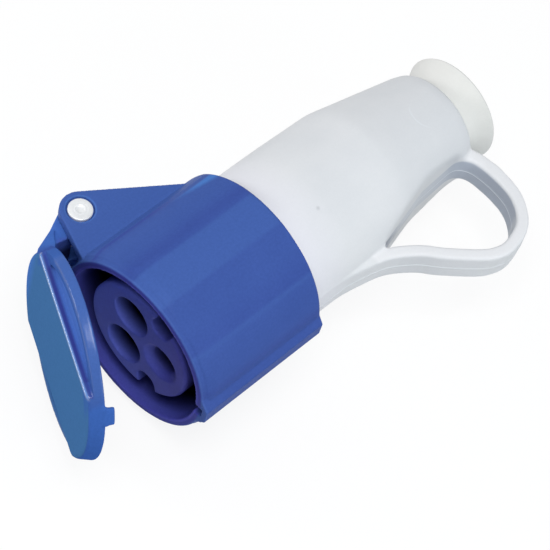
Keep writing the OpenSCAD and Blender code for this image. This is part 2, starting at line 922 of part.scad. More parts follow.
// torsion spring drawn as close turns round the pin
module lid_spring() {
    color(steel) {
        for (i = [0 : coil_turns - 1])
            translate([pin_x, pin_y, i * coil_pitch - coil_half])
                rotate_extrude($fn = 40)
                    translate([coil_mean, 0])
                        circle(d = coil_wire + 0.25, $fn = 12);
        collar_leg();
        swung(lid_rest)
            lid_leg(coil_wire, lid_leg_len);
    }
}

collar();
carrier();
back_plate();
contact_line_a();
contact_line_b();
contact_earth();
contact_springs();
terminal_screws();
plate_screws();
body_screws();
seal_ring();
body();
clamp_base();
clamp_saddle();
clamp_screws();
bush();
lid();
lid_gasket();
hinge_pin();
lid_spring();
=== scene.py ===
import json
import math

import bmesh
import bpy
from mathutils import Matrix, Vector


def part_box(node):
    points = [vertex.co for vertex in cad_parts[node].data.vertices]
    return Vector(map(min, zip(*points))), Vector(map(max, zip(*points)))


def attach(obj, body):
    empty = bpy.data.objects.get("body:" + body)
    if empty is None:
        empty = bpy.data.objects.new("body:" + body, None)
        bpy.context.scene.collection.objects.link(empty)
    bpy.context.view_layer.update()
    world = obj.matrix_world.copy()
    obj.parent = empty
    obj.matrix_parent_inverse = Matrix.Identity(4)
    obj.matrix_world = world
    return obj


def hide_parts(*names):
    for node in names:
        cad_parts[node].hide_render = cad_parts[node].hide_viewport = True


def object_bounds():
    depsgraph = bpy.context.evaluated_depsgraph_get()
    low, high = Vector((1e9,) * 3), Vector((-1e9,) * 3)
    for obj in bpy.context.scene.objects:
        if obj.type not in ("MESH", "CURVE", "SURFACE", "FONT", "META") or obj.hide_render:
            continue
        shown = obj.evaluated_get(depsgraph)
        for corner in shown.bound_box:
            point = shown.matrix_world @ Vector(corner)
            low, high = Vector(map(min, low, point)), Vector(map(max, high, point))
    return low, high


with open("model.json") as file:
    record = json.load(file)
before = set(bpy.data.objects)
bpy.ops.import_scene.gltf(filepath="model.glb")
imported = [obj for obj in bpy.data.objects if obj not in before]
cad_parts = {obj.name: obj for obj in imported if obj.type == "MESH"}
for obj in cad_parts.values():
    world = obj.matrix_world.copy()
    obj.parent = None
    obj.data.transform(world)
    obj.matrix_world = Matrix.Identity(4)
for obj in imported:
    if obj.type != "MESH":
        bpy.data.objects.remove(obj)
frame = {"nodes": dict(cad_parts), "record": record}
cadNodes = frame["nodes"]
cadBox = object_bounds()
scene = bpy.context.scene
scene.view_settings.view_transform = "Standard"
mm = 0.001
weld = 0.002 * mm  # points closer than this are one
pinPlace = Vector((17.4, 55.5, 0))  # the hinge pin, mm
print("frame loaded,", len(cadNodes), "nodes")


# camera, placed as the photograph sees the part

cameraView = {
    "place": (-412.6, -278.8, 869.7),  # mm
    "right": (0.70469, -0.68574, 0.18216),
    "down": (-0.53200, -0.68054, -0.50385),
    "ahead": (0.46947, 0.25815, -0.84437),
    "lens": 157.8,
    "sensor": 36.0,
}


def axisOf(name, sign=1):
    return (Vector(cameraView[name]) * sign).normalized()


def makeCamera():
    data = bpy.data.cameras.new("camera")
    data.lens = cameraView["lens"]
    data.sensor_width = cameraView["sensor"]
    data.clip_end = 20
    camera = bpy.data.objects.new("camera", data)
    scene.collection.objects.link(camera)
    turn = Matrix((axisOf("right"), axisOf("down", -1), axisOf("ahead", -1))).transposed()
    camera.matrix_world = Matrix.Translation(Vector(cameraView["place"]) * mm) @ turn.to_4x4()
    scene.camera = camera


makeCamera()
print("camera made")


# materials: a small set of tools

class Wire:  # a socket that takes part in sums
    def __init__(self, finish, socket):
        self.finish = finish
        self.socket = socket

    def sum(self, operation, first, second):
        return self.finish.add("ShaderNodeMath", {"operation": operation}, {0: first, 1: second})

    def __add__(self, other):
        return self.sum("ADD", self, other)

    def __radd__(self, other):
        return self.sum("ADD", other, self)

    def __sub__(self, other):
        return self.sum("SUBTRACT", self, other)

    def __rsub__(self, other):
        return self.sum("SUBTRACT", other, self)

    def __mul__(self, other):
        return self.sum("MULTIPLY", self, other)

    def __rmul__(self, other):
        return self.sum("MULTIPLY", other, self)

    def __truediv__(self, other):
        return self.sum("DIVIDE", self, other)

    def __rtruediv__(self, other):
        return self.sum("DIVIDE", other, self)

    def __pow__(self, other):
        return self.sum("POWER", self, other)

    def __abs__(self):
        return self.sum("ABSOLUTE", self, 0.0)

    def clip(self, low, high):
        return self.sum("MINIMUM", self.sum("MAXIMUM", self, low), high)


class Finish:  # one material and its nodes
    def __init__(self, name):
        self.material = bpy.data.materials.new(name)
        self.material.use_nodes = True
        self.tree = self.material.node_tree
        self.tree.nodes.clear()

    def add(self, kind, settings, sockets, out=0):
        node = self.tree.nodes.new(kind)
        stops = settings.get("stops")
        for key, value in settings.items():
            if key != "stops":
                setattr(node, key, value)
        if stops:
            ramp = node.color_ramp.elements
            while len(ramp) < len(stops):
                ramp.new(0.5)
            for element, (place, colour) in zip(ramp, stops):
                element.position = place
                element.color = colour
        for key, value in sockets.items():
            if isinstance(value, Wire):
                self.tree.links.new(value.socket, node.inputs[key])
            else:
                node.inputs[key].default_value = value
        return Wire(self, node.outputs[out]) if len(node.outputs) else None

    def place(self, scale=(1, 1, 1), turn=(0, 0, 0), move=(0, 0, 0)):
        spot = self.add("ShaderNodeTexCoord", {}, {}, "Object")
        return self.add("ShaderNodeMapping", {}, {0: spot, "Location": move, "Rotation": turn, "Scale": scale})

    def noise(self, where, scale, detail=3.0, rough=0.5):
        return self.add("ShaderNodeTexNoise", {}, {
            "Vector": where, "Scale": scale, "Detail": detail, "Roughness": rough})

    def ramp(self, value, low, high):
        return self.add("ShaderNodeMapRange", {"clamp": True}, {0: value, 1: low, 2: high, 3: 0.0, 4: 1.0})

    def fade(self, value, low, high):
        return 1 - self.ramp(value, low, high)

    def split(self, where):  # the three coordinates in mm
        return [self.add("ShaderNodeSeparateXYZ", {}, {0: where}, axis) * 1000 for axis in "XYZ"]

    def between(self, value, low, high, soft):
        return self.ramp(value, low - soft, low + soft) * self.fade(value, high - soft, high + soft)

    def reach(self, first, *others):  # the length of a vector with these parts
        total = first * first
        for part in others:
            total = total + part * part
        return total ** 0.5

    def mix(self, share, first, second):
        return self.add("ShaderNodeMix", {"data_type": "RGBA"}, {0: share, 6: first, 7: second}, 2)

    def lay(self, colour, mask, paint):  # paint is a tone and how strongly it shows
        tone, share = paint
        return self.mix(mask * share, colour, tone)

    def scale(self, colour, share):
        return self.add("ShaderNodeVectorMath", {"operation": "SCALE"}, {0: colour, "Scale": share})

    def bump(self, height, depth, under=None):
        sockets = {"Height": height, "Distance": depth, "Strength": 1.0}
        if under:
            sockets["Normal"] = under
        return self.add("ShaderNodeBump", {}, sockets)

    def close(self, sockets):
        shader = self.add("ShaderNodeBsdfPrincipled", {}, sockets)
        self.add("ShaderNodeOutputMaterial", {}, {"Surface": shader})
        return self.material


def shade(red, green, blue):  # 0 to 255 as seen on a screen, to linear light
    def linear(value):
        value = value / 255
        return value / 12.92 if value <= 0.04045 else ((value + 0.055) / 1.055) ** 2.4
    return (linear(red), linear(green), linear(blue), 1.0)


# moulded plastic: soft cloudy tone, flow along the mould, fine grain, small scuffs

mould = {  # the same for every moulded piece
    "cloudShare": 0.65, "toneSpan": (0.25, 0.75), "toneStep": (0.34, 0.66),
    "scratchScale": (1.0, 0.06, 1.0), "scratchTurn": (0.3, 0.2, 0.9),
    "scuffStep": (0.66, 0.74), "scuffPatch": (0.5, 0.62), "scuffRough": 0.08, "grainRough": 0.06,
    "roughSpan": (0.04, 0.9), "ior": 1.5, "coatRough": 0.2, "coatIor": 2.2,
}


def mouldedPlastic(name, look, tint=None, gloss=None):
    finish = Finish(name)
    where = finish.place()
    across = finish.place(scale=mould["scratchScale"], turn=mould["scratchTurn"])
    cloud = finish.noise(where, look["cloudSize"], 3.0, 0.55)
    flow = finish.noise(finish.place(scale=look["flowScale"]), look["flowSize"], 2.0, 0.5)
    grain = finish.noise(where, look["grainSize"], 2.0, 0.6)
    scratch = finish.noise(across, look["scuffSize"], 2.0, 0.5)
    mottle = finish.noise(where, look["mottleSize"], 2.0, 0.6)
    scuffs = finish.ramp(scratch, *mould["scuffStep"]) * finish.ramp(cloud, *mould["scuffPatch"])
    tone = (cloud * mould["cloudShare"] + flow * (1 - mould["cloudShare"])).clip(*mould["toneSpan"])
    colour = finish.mix(finish.ramp(tone, *mould["toneStep"]), look["dark"], look["light"])
    colour = finish.mix(scuffs * look["scuffShare"], colour, look["scuff"])
    colour = tint(finish, colour) if tint else colour
    colour = finish.scale(colour, 1 + (mottle - 0.5) * look["mottle"])
    rough = look["rough"] + (cloud - 0.5) * look["roughSwing"]
    rough = rough + (grain - 0.5) * mould["grainRough"] + scuffs * mould["scuffRough"]
    skin = finish.bump(grain, look["grainDepth"])
    sockets = {
        "Base Color": colour, "Roughness": rough.clip(*mould["roughSpan"]),
        "Normal": finish.bump(flow, look["flowDepth"], skin),
        "IOR": mould["ior"], "Specular IOR Level": look["shine"]}
    if gloss:
        sockets["Coat Weight"] = gloss(finish)
        sockets["Coat Roughness"] = mould["coatRough"]
        sockets["Coat IOR"] = mould["coatIor"]
    return finish.close(sockets)


collarLook = {
    "dark": shade(57, 78, 148), "light": shade(62, 84, 155), "scuff": shade(96, 124, 190),
    "scuffShare": 0.12, "rough": 0.42, "roughSwing": 0.14, "shine": 0.02, "mottle": 0.24, "mottleSize": 900.0,
    "cloudSize": 38.0, "flowSize": 60.0, "flowScale": (0.25, 1.0, 1.0), "grainSize": 2600.0,
    "scuffSize": 900.0, "grainDepth": 0.00003, "flowDepth": 0.00010,
}
lidLook = dict(collarLook, rough=0.36, shine=0.0)
carrierLook = dict(
    collarLook, dark=shade(62, 64, 142), light=shade(72, 74, 158), scuff=shade(90, 92, 160),
    rough=0.5, shine=0.05)
bodyLook = {
    "dark": shade(211, 213, 216), "light": shade(220, 221, 223), "scuff": shade(190, 193, 197),
    "scuffShare": 0.10, "rough": 0.42, "roughSwing": 0.10, "shine": 0.25, "mottle": 0.05, "mottleSize": 900.0,
    "cloudSize": 26.0, "flowSize": 45.0, "flowScale": (0.3, 1.0, 1.0), "grainSize": 2400.0,
    "scuffSize": 800.0, "grainDepth": 0.00003, "flowDepth": 0.00012,
}
bushLook = dict(
    bodyLook, dark=shade(216, 216, 212), light=shade(226, 225, 222), scuff=shade(200, 198, 190),
    rough=0.52, shine=0.2)


# collar: painted light and shade: each facet has its own lighter or darker painted tone as light falls on it, the
# mouth is painted violet shade and turns black inside as painted shade, a painted dark crease lies at each ear's foot,
# and painted highlights lie on the rim's edge, round the counterbore and on the fillet behind each ear

# all tones here are painted light or shade: the lit facet tone, painted highlights on the counterbore, the fillet and
# the rim's edge, and painted shade in the ear's crease, the mouth and the bore
collarTone = {  # a tone and how strongly it shows
    "high": (shade(66, 94, 162), 1.0), "foot": (shade(54, 58, 142), 0.4), "ring": (shade(84, 134, 208), 0.3),
    "fillet": (shade(78, 140, 215), 0.5), "mouthShade": (shade(64, 54, 150), 0.6), "inner": (shade(82, 84, 180), 0.8),
    "lip": (shade(92, 122, 192), 0.2), "deep": (shade(12, 10, 26), 1.0),
}
collarZone = {  # from and to in mm or degrees, some with the softness of their ends
    "wall": (38.0, 40.0), "outside": (40.0, 41.0), "foot": (40.0, 43.0, 1.2), "footEnd": (35.0, 50.0),
    "counterbore": (6.3, 6.9, 0.25), "fillet": (42.8, 45.2), "filletSide": (45.0, 5.0), "filletWidens": (44.0, 66.0),
    "filletEdge": (-2.0, 1.6), "filletReach": (42.0, 60.0), "mouth": (0.3, 2.2), "mouthRing": (40.0, 40.6),
    "bore": (38.2, 38.8), "lip": (0.5, 1.1), "lipRing": (40.3, 40.7), "deep": (4.0, 17.0),
}
# painted light: how much of the lit facet tone each facet gets, the rest stays in painted shade
facetPaintedLight = (  # angle from the hinge side, share of the high tone
    (28, 0.95), (36, 0.7), (44, 0.4), (50, 0.65), (63, 0.5), (72, 0.0), (77, 0.15), (79, 0.9), (101, 0.9),
    (103, 0.42), (120, 0.42), (134, 0.15), (136.5, 0.75), (139, 0.42), (160, 0.35), (163.5, 0.0), (168, 0.3))


def collarPaintedLight(finish, colour):
    t, zone = collarTone, collarZone
    x, y, z = finish.split(finish.place())
    angle = finish.add("ShaderNodeMath", {"operation": "ARCTAN2"}, {0: abs(z), 1: y}) * (180 / math.pi)
    around = finish.reach(y, z)
    outside = finish.ramp(around, *zone["outside"])
    # painted light and shade: each facet is lighter or darker by its angle
    stops = [(place / 180, (share, share, share, 1)) for place, share in facetPaintedLight]
    facet = finish.add("ShaderNodeValToRGB", {"stops": stops}, {0: angle / 180})
    colour = finish.lay(colour, facet * finish.ramp(around, *zone["wall"]), t["high"])
    # painted shade: a darker violet line in the crease where each ear meets the collar
    foot = finish.between(angle, *zone["foot"]) * finish.fade(x, *zone["footEnd"])
    colour = finish.lay(colour, foot * outside, t["foot"])
    # painted highlight: a paler ring along the counterbore's edge round the pin
    ring = finish.between(finish.reach(x - pinPlace.x, y - pinPlace.y), *zone["counterbore"])
    colour = finish.lay(colour, ring, t["ring"])
    # painted highlight: a pale cyan streak on the fillet behind each ear
    start, more = zone["filletSide"]
    side = start + finish.ramp(x, *zone["filletWidens"]) * more  # the fillet behind the ear, wider to the rear
    fillet = finish.ramp(angle, *zone["fillet"]) * finish.fade(angle - side, *zone["filletEdge"])
    colour = finish.lay(colour, fillet * finish.ramp(x, *zone["filletReach"]) * outside, t["fillet"])
    # painted shade: the front ring of the mouth turns violet
    mouth = finish.fade(x, *zone["mouth"]) * finish.fade(around, *zone["mouthRing"])
    colour = finish.lay(colour, mouth, t["mouthShade"])
    # painted shade: the bore takes a lighter violet tone, the colour of its shade
    inside = finish.fade(around, *zone["bore"])
    colour = finish.lay(colour, inside, t["inner"])
    # painted highlight: a pale line along the rim's outer edge
    lip = finish.fade(x, *zone["lip"]) * finish.ramp(around, *zone["lipRing"])
    colour = finish.lay(colour, lip, t["lip"])
    # painted shade: the bore goes black further in
    return finish.lay(colour, inside * finish.ramp(x, *zone["deep"]), t["deep"])


# lid: pale matt face, its tone partly painted light, a painted highlight along the raised face's near edge, painted
# shade in the dark foot along the raised part, under the arm and in the spring's slot, painted light on the near side,
# lower end, lip and arm, smooth channels and ring wall

lidAjar = math.radians(25.4)  # how far it stands open at rest
# the tones here paint light and shade over the lid, and the face's tone is partly its own matt finish
lidTone = {  # a tone and how strongly it shows
    "face": (shade(66, 110, 160), 1.0), "farFace": (shade(66, 110, 160), 0.8), "side": (shade(84, 124, 204), 0.8),
    "end": (shade(61, 100, 176), 1.0), "lip": (shade(60, 98, 168), 0.7), "arm": (shade(72, 116, 196), 0.7),
    "under": (shade(88, 72, 166), 0.55), "slot": (shade(18, 12, 34), 0.8), "foot": (shade(52, 44, 128), 0.5),
    "edge": (shade(104, 148, 216), 0.7),
}
lidZone = {  # from and to in mm in the lid's own axes, some with the softness of their ends
    "high": 7.4, "half": 26.6,  # the raised face stands this far out and reaches this far to each side
    "face": (0.25, 0.7), "edge": (0.5, 1.0), "length": (-37.0, 34.0, 1.5), "near": (-20.0, 20.0),
    "side": (26.3, 26.6), "sideDeep": (2.0, 3.4), "sideEnd": (36.5, 38.5), "sideFades": 0.85, "end": (-38.0, -35.5),
    "lip": (37.5, 38.5), "lipNear": (10.0, 20.0), "far": (-27.5, -26.3), "farDeep": (4.0, 5.0),
    "arm": (35.0, 41.0), "under": (3.4, 5.8), "underEnd": (43.5, 47.5), "slot": (3.0, 8.5),
    "foot": (0.9, 2.6, 0.5), "footWide": (-1.6, 0.3, 0.3),
}
lidShine = {  # the same for its gloss, and how much coat lies there
    "channel": (26.8, 28.0), "channelEnd": (37.8, 38.6), "channelCoat": 0.08,
    "worn": (25.2, 27.2, 0.3), "wornDeep": (1.0, 1.6), "wornCoat": 0.75,
    "wall": (41.4, 42.2), "wallDeep": (1.0, 2.0), "wallLength": (-36.0, 25.0, 2.0), "wallCoat": 0.22,
}


def inLid(place):  # the lid's own axes: x away from the face, y towards the hinge, z to the near side
    return Matrix.Rotation(lidAjar, 3, "Z") @ (place - pinPlace) + pinPlace


def lidPlace(finish):
    return finish.split(finish.place(turn=(0, 0, lidAjar), move=inLid(Vector((0, 0, 0))) * mm))


def lidToneAndPaintedLight(finish, colour):
    t, zone = lidTone, lidZone
    x, y, z = lidPlace(finish)
    sunk = x + zone["high"]
    wide = abs(z)
    inset = zone["half"] - wide
    around = finish.reach(y, z)
    along = finish.between(y, *zone["length"])
    # the painted light and shade below lie on the near side only
    near = along * finish.ramp(z, *zone["near"])
    # partly the matt face's own paler tone, partly painted light
    face = finish.fade(sunk, *zone["face"])
    colour = finish.lay(colour, face, t["face"])
    # painted highlight: the side part beside the raised face is lighter, fading towards the ends
    side = finish.ramp(wide, *zone["side"]) * finish.ramp(sunk, *zone["sideDeep"])
    side = side * (1 - finish.ramp(around, *zone["sideEnd"]) * zone["sideFades"])
    colour = finish.lay(colour, side * near, t["side"])
    # painted light: the lid's lower end is a lighter blue
    colour = finish.lay(colour, finish.fade(y, *zone["end"]) * (1 - face), t["end"])
    # painted light: the outer lip is lighter on the near side
    lip = finish.ramp(around, *zone["lip"]) * finish.ramp(z, *zone["lipNear"])
    colour = finish.lay(colour, lip * along, t["lip"])
    # the far side wall next to the face takes the face's tone too, partly painted light
    colour = finish.lay(colour, finish.fade(z, *zone["far"]) * finish.fade(sunk, *zone["farDeep"]), t["farFace"])
    # painted light: the arm towards the hinge is a lighter blue
    colour = finish.lay(colour, finish.ramp(y, *zone["arm"]), t["arm"])
    under = finish.ramp(x, *zone["under"])  # the arm's underside and the slot for the spring lie in the dark
    # painted shade: dark violet under the arm and near black in the spring's slot
    colour = finish.lay(colour, under * finish.fade(y, *zone["underEnd"]), t["under"])
    colour = finish.lay(colour, under * finish.fade(wide, *zone["slot"]), t["slot"])
    # painted shade: a dark violet foot where the raised face meets the channel, on the near side
    foot = finish.between(sunk, *zone["foot"]) * finish.between(inset, *zone["footWide"])
    colour = finish.lay(colour, foot * near, t["foot"])
    # painted highlight: a pale line along the raised face's near edge, on the near side only
    edge = finish.fade(sunk.sum("MAXIMUM", sunk, abs(inset)), *zone["edge"])
    return finish.lay(colour, edge * near, t["edge"])


def lidGloss(finish):
    zone = lidShine
    x, y, z = lidPlace(finish)
    sunk = x + lidZone["high"]
    around = finish.reach(y, z)
    channel = finish.ramp(abs(z), *zone["channel"]) * finish.fade(around, *zone["channelEnd"])
    worn = finish.between(z, *zone["worn"]) * finish.fade(sunk, *zone["wornDeep"])
    wall = finish.ramp(around, *zone["wall"]) * finish.ramp(sunk, *zone["wallDeep"])
    wall = wall * finish.between(y, *zone["wallLength"])
    coat = channel * zone["channelCoat"] + worn * zone["wornCoat"] + wall * zone["wallCoat"]
    return coat.clip(0, 1)


# carrier: painted light makes it paler towards the hinge, painted shade turns it black with depth in the contact holes
# and beside it

carrierTone = {"rim": (shade(96, 112, 208), 0.9), "deep": (shade(8, 6, 16), 1.0)}
carrierZone = {"rim": (-22.0, 26.0), "deep": (4.0, 11.0)}


def carrierPaintedLight(finish, colour):
    x, y, z = finish.split(finish.place())
    # painted light: paler towards the hinge
    colour = finish.lay(colour, finish.ramp(y, *carrierZone["rim"]), carrierTone["rim"])
    # painted shade: black with depth
    return finish.lay(colour, finish.ramp(x, *carrierZone["deep"]), carrierTone["deep"])


# body: painted shade dims the loop, a painted highlight runs along the parting line's flash, painted light pales the
# handle's flat faces and the front, a gate speck and the ring of an ejector pin

# the tones for the loop, the handle, the parting line and the front are painted light and shade; the gate speck and
# the ejector ring are marks of the moulding
bodyTone = {  # a tone and how strongly it shows
    "loop": (shade(166, 175, 190), 1.0), "handle": (shade(228, 228, 230), 0.9), "flashHighlight": (shade(236, 240, 244), 0.7),
    "front": (shade(230, 228, 235), 0.7), "speck": (shade(150, 152, 156), 0.35), "ring": (shade(228, 232, 236), 0.35),
}
bodyZone = {  # from and to in mm, some with the softness of their ends
    "gate": (89.1, -11.4, 34.4), "ejector": (165.5, -3.6, 28.8),  # these two are places
    # painted shade in the loop: its share, with more towards the rear and the front corner
    "dim": 0.35, "dimRear": (150.0, 176.0), "rearMore": 0.45, "dimFront": (117.0, 130.0), "frontMore": 0.6,
    "wall": (1.4, 2.2), "wallDeep": (6.4, 7.6), "flat": (8.0, 10.0), "flatDeep": (6.9, 10.0, 0.5),
    "bodySide": (-35.0, -31.0), "bodyRear": (171.0, 177.0), "flashHighlight": (0.12, 0.4), "front": (68.0, 94.0),
    "speck": (0.2, 1.3), "ring": (7.0, 7.7, 0.2), "ringEnd": (159.0, 163.0),
}
loopHole = (  # the hole in the loop runs round these circles: place in mm and radius
    (116.5, -35.0, 1.4), (160.0, -59.5, 7.4), (167.5, -50.0, 10.0), (170.0, -33.2, 9.4), (150.0, -33.3, 8.2))


def fromLoop(x, y):  # how far outside the hole's outline
    sides = []  # the way each straight side faces
    for (startX, startY, start), (endX, endY, end) in zip(loopHole, loopHole[1:] + loopHole[:1]):
        lean = math.asin((start - end) / math.hypot(endX - startX, endY - startY))
        sides.append(math.atan2(startX - endX, endY - startY) + lean)
    turns = []  # and two ways between, round each corner
    for side, following in zip(sides, sides[1:] + sides[:1]):
        bend = (following - side) % (2 * math.pi)
        turns += [side, side + bend / 3, side + bend * 2 / 3]
    far = None
    for turn in turns:
        outline = max(a * math.cos(turn) + b * math.sin(turn) + radius for a, b, radius in loopHole)
        gap = x * math.cos(turn) + y * math.sin(turn) - outline
        far = far.sum("MAXIMUM", far, gap) if far else gap
    return far


def bodyMarksAndPaintedLight(finish, colour):
    t, zone = bodyTone, bodyZone
    x, y, z = finish.split(finish.place())
    deep = abs(z)

    def away(spot):
        return finish.reach(*[part - value for part, value in zip((x, y, z), spot)])

    # painted shade: the loop's inner wall is dimmer, more so towards its rear and its front corner
    rear = finish.ramp(x, *zone["dimRear"]) * zone["rearMore"]
    front = finish.fade(x, *zone["dimFront"]) * zone["frontMore"]
    far = fromLoop(x, y)
    wall = finish.fade(far, *zone["wall"]) * finish.fade(deep, *zone["wallDeep"])
    colour = finish.lay(colour, wall * (zone["dim"] + rear + front).clip(0, 1), t["loop"])
    # painted light: the handle's flat faces are paler and warmer
    flat = finish.fade(far, *zone["flat"]) * finish.between(deep, *zone["flatDeep"])
    onBody = finish.ramp(y, *zone["bodySide"]) * finish.fade(x, *zone["bodyRear"])
    colour = finish.lay(colour, flat * (1 - onBody), t["handle"])
    # painted highlight: a pale line along the parting line, whose flash is a real ridge in the mesh
    colour = finish.lay(colour, finish.fade(deep, *zone["flashHighlight"]), t["flashHighlight"])
    # painted light: the body is paler near the collar
    colour = finish.lay(colour, finish.fade(x, *zone["front"]), t["front"])
    colour = finish.lay(colour, finish.fade(away(zone["gate"]), *zone["speck"]), t["speck"])
    ring = finish.between(away(zone["ejector"]), *zone["ring"]) * finish.fade(x, *zone["ringEnd"])
    return finish.lay(colour, ring, t["ring"])


# seal rubber and inner black plastic: dark, dusty, dull

def dullBlack(name, look):
    finish = Finish(name)
    where = finish.place()
    dust = finish.noise(where, look["dustSize"], 4.0, 0.6)
    grain = finish.noise(where, look["grainSize"], 2.0, 0.5)
    colour = finish.mix(finish.ramp(dust, *look["dustStep"]), look["dark"], look["light"])
    rough = look["rough"] + (dust - 0.5) * look["dustRough"]
    return finish.close({
        "Base Color": colour, "Roughness": rough.clip(*look["roughSpan"]),
        "Normal": finish.bump(grain, look["grainDepth"]), "Specular IOR Level": look["shine"]})


sealLook = {
    "dark": shade(18, 18, 20), "light": shade(40, 40, 42), "rough": 0.72, "roughSpan": (0.2, 1.0), "shine": 0.3,
    "dustSize": 160.0, "dustStep": (0.35, 0.75), "dustRough": 0.2, "grainSize": 1900.0, "grainDepth": 0.00004,
}
innerLook = dict(sealLook, dark=shade(26, 26, 28), light=shade(44, 44, 47), rough=0.55)


# turned or drawn metal: fine tool lines, stained patches, tiny pits

def turnedMetal(name, look):
    finish = Finish(name)
    where = finish.place()
    patch = finish.noise(where, look["patchSize"], 3.0, 0.6)
    lines = finish.noise(finish.place(scale=look["lineScale"]), look["lineSize"], 2.0, 0.6)
    pits = finish.ramp(finish.noise(where, look["pitSize"], 2.0, 0.6), *look["pitStep"])
    colour = finish.mix(finish.ramp(patch, *look["patchStep"]), look["dark"], look["light"])
    colour = finish.mix(pits * look["pitShare"], colour, look["pit"])
    rough = look["rough"] + (lines - 0.5) * look["lineRough"]
    rough = rough + (patch - 0.5) * look["patchRough"] + pits * look["pitRough"]
    return finish.close({
        "Base Color": colour, "Roughness": rough.clip(*look["roughSpan"]), "Metallic": look["metal"],
        "Normal": finish.bump(lines - pits * look["pitDeep"], look["lineDepth"])})


brassLook = {
    "dark": shade(176, 140, 70), "light": shade(206, 172, 98), "pit": shade(110, 82, 40),
    "metal": 1.0, "rough": 0.3, "roughSpan": (0.08, 0.8), "lineRough": 0.16, "patchRough": 0.12, "pitRough": 0.1,
    "patchSize": 120.0, "patchStep": (0.3, 0.7), "pitSize": 1500.0, "pitStep": (0.64, 0.74), "pitShare": 0.35,
    "pitDeep": 0.4, "lineScale": (1.0, 0.1, 0.1), "lineSize": 2200.0, "lineDepth": 0.00003,
}
steelLook = dict(
    brassLook, dark=shade(176, 180, 184), light=shade(206, 210, 212), pit=shade(120, 122, 126))
pinLook = dict(
    steelLook, dark=shade(232, 233, 233), light=shade(246, 246, 246), pit=shade(200, 196, 192),
    rough=0.34, metal=0.2, lineScale=(1.0, 1.0, 0.1), lineSize=1400.0)

finishes = {
    "collar_blue": mouldedPlastic("collarBlue", collarLook, collarPaintedLight),
    "lid_blue": mouldedPlastic("lidBlue", lidLook, lidToneAndPaintedLight, lidGloss),
    "carrier_blue": mouldedPlastic("carrierBlue", carrierLook, carrierPaintedLight),
    "body_grey": mouldedPlastic("bodyGrey", bodyLook, bodyMarksAndPaintedLight),
    "bush_cream": mouldedPlastic("bushCream", bushLook),
    "contact_brass": turnedMetal("contactBrass", brassLook),
    "bright_steel": turnedMetal("brightSteel", steelLook),
    "pin_steel": turnedMetal("pinSteel", pinLook),
    "seal_black": dullBlack("sealBlack", sealLook),
    "inner_black": dullBlack("innerBlack", innerLook),
}
slotOf = {part["node"]: part["material_slot"] for part in frame["record"]["subparts"]}
for nodeName, node in cadNodes.items():
    node.data.materials.clear()
    node.data.materials.append(finishes[slotOf[nodeName]])
print("finishes made,", len(finishes))


# pieces

def dress(piece, nodeName, body):
    piece.data.materials.clear()
    piece.data.materials.append(finishes[slotOf[nodeName]])
    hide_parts(nodeName)
    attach(piece, body)
    print(piece.name, "stands for", nodeName, len(piece.data.polygons), "faces")


def newPiece(name, bm):
    mesh = bpy.data.meshes.new(name)
    bm.to_mesh(mesh)
    bm.free()
    piece = bpy.data.objects.new(name, mesh)
    scene.collection.objects.link(piece)
    return piece


def bake(piece):  # live modifiers become the mesh
    graph = bpy.context.evaluated_depsgraph_get()
    mesh = bpy.data.meshes.new_from_object(piece.evaluated_get(graph))
    piece.modifiers.clear()
    piece.data = mesh


def softSkin(name, nodeName, look):
    # a merged copy of the solid's skin on an even grid, rubbed down in zones so that mould edges come out round
    bm = bmesh.new()
    bm.from_mesh(cadNodes[nodeName].data)
    bmesh.ops.remove_doubles(bm, verts=bm.verts, dist=weld)
    piece = newPiece(name, bm)
    grid = piece.modifiers.new("grid", "REMESH")
    grid.mode = "VOXEL"
    grid.voxel_size = look["grid"] * mm
    bake(piece)
    for zone, (rubs, weigh) in look["zones"].items():
        group = piece.vertex_groups.new(name=zone)
        for vertex in piece.data.vertices:
            weight = weigh(vertex.co / mm)
            if weight > 0.01:
                group.add((vertex.index,), weight, "REPLACE")
        rub = piece.modifiers.new(zone, "SMOOTH")
        rub.factor = 0.5
        rub.iterations = rubs
        rub.vertex_group = zone
        bake(piece)
        piece.vertex_groups.clear()
    thin = piece.modifiers.new("thin", "DECIMATE")
    thin.ratio = look["keep"]
    bake(piece)
    for face in piece.data.polygons:
        face.use_smooth = True
    return piece


def rise(value, low, high):  # soft step from 0 to 1
    share = min(max((value - low) / (high - low), 0.0), 1.0)
    return share * share * (3 - 2 * share)


def fall(value, low, high):
    return 1 - rise(value, low, high)


def evenly(place):
    return 1.0


# collar: facet corners and the feet of the ears are softer than the rim

flankZone = {"outside": (39.0, 40.5), "front": (5.0, 9.0), "rear": (62.0, 66.0)}


def collarFlanks(place):
    outside = rise(math.hypot(place.y, place.z), *flankZone["outside"])
    return outside * rise(place.x, *flankZone["front"]) * fall(place.x, *flankZone["rear"])


collarShape = {"grid": 0.52, "keep": 0.4, "zones": {"edges": (3, evenly), "flanks": (3, collarFlanks)}}
dress(softSkin("collarShell", "collar", collarShape), "collar", "base")


# lid: the hook is rubbed rounder than the rest

hookZone = {"deep": (-0.2, 1.0), "low": (-36.0, -32.0)}


def hookEnd(place):
    spot = inLid(place)
    return rise(spot.x, *hookZone["deep"]) * fall(spot.y, *hookZone["low"])


lidShape = {"grid": 0.42, "keep": 0.4, "zones": {"edges": (2, evenly), "hook": (60, hookEnd)}}
dress(softSkin("lidShell", "lid", lidShape), "lid", "lid")

# carrier: small even roundings
carrierShape = {"grid": 0.5, "keep": 0.4, "zones": {"edges": (2, evenly)}}
dress(softSkin("carrierBlock", "carrier", carrierShape), "carrier", "base")


# body: wide fillets where the loop leaves the round body and where the taper starts

